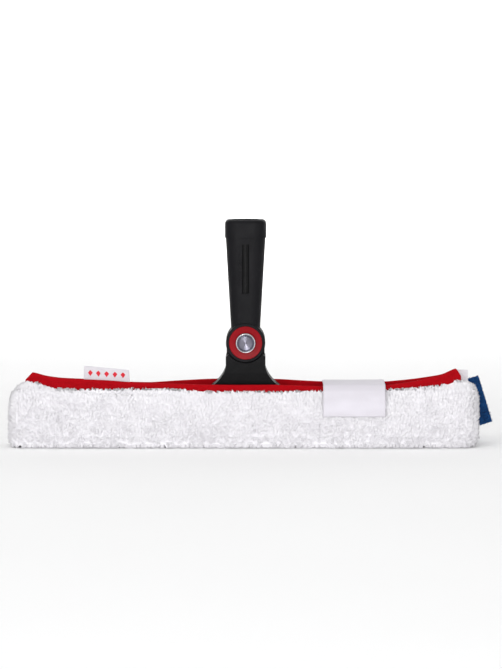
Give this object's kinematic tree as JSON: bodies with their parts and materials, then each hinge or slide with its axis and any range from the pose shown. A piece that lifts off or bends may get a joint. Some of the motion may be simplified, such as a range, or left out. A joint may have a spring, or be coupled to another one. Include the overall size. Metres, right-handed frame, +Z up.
{
  "type": "window washer",
  "caption": "Window washer: a T-bar in a fleece sleeve with a closure flap, on a swivelling pole-socket handle that a push button locks.",
  "frame": {"origin": "on the sleeve's resting face, straight below the swivel axis", "axes": "+X along the bar to the right, +Y to the rear, +Z up; the button and the closure tab face -Y"},
  "size_m": [0.3628, 0.0414, 0.1697],
  "materials": {
    "grip_plastic": "fine moulded texture",
    "foot_plastic": "fine moulded texture",
    "liner_plastic": "smooth",
    "bar_plastic": "smooth",
    "red_plastic": "satin",
    "washer_plastic": "smooth nylon",
    "button_steel": "turned face",
    "pin_steel": "bright zinc",
    "fleece": "deep microfibre pile",
    "red_tape": "woven binding tape",
    "white_tape": "brushed loop tape",
    "hook_tape": "hook tape",
    "label_cloth": "satin label cloth",
    "scouring_web": "open abrasive nonwoven web"
  },
  "bodies": {
    "head": {"foot_bracket": "foot_plastic", "foot_screws": "pin_steel", "t_bar": "bar_plastic", "left_bar_cap": "bar_plastic", "right_bar_cap": "bar_plastic", "fleece_sleeve": "fleece", "front_binding": "red_tape", "rear_binding": "red_tape", "hook_patch": "hook_tape", "flap_root": "white_tape", "side_label": "label_cloth", "care_label": "label_cloth", "scrub_pad": "scouring_web"},
    "handle": {"grip_shell": "grip_plastic", "grip_end_collar": "grip_plastic", "pole_socket_liner": "liner_plastic", "red_button_ring": "red_plastic", "rear_pivot_cap": "grip_plastic", "pivot_pin": "pin_steel", "front_thrust_washer": "washer_plastic", "rear_thrust_washer": "washer_plastic"},
    "lock_button": {"button_cap": "button_steel", "button_stem": "liner_plastic", "lock_cog": "liner_plastic", "return_spring": "pin_steel"},
    "flap_bridge": {"flap_bridge": "white_tape"},
    "flap_tab": {"flap_tab": "white_tape"}
  },
  "joints": [
    {"name": "handle_swivel", "type": "hinge", "parent": "head", "child": "handle", "pos_m": [0, 0, 0.0785], "axis": [0, 1, 0], "range_deg": [-60.5, 60.5]},
    {"name": "button_press", "type": "slide", "parent": "handle", "child": "lock_button", "axis": [0, 1, 0], "range_m": [0, 0.0032], "stiffness_N_per_m": 900, "springref_m": -0.003, "deforming": ["return_spring"]},
    {"name": "flap_peel", "type": "hinge", "parent": "head", "child": "flap_bridge", "pos_m": [0.08055, 0.0136, 0.0484], "axis": [-1, 0, 0], "range_deg": [0, 115]},
    {"name": "flap_tab_fold", "type": "hinge", "parent": "flap_bridge", "child": "flap_tab", "pos_m": [0.08055, -0.0152, 0.0478], "axis": [-1, 0, 0], "range_deg": [0, 69]}
  ],
  "couplings": [
    {"joint": "flap_tab_fold", "follows": "flap_peel", "ratio": 0.6}
  ]
}
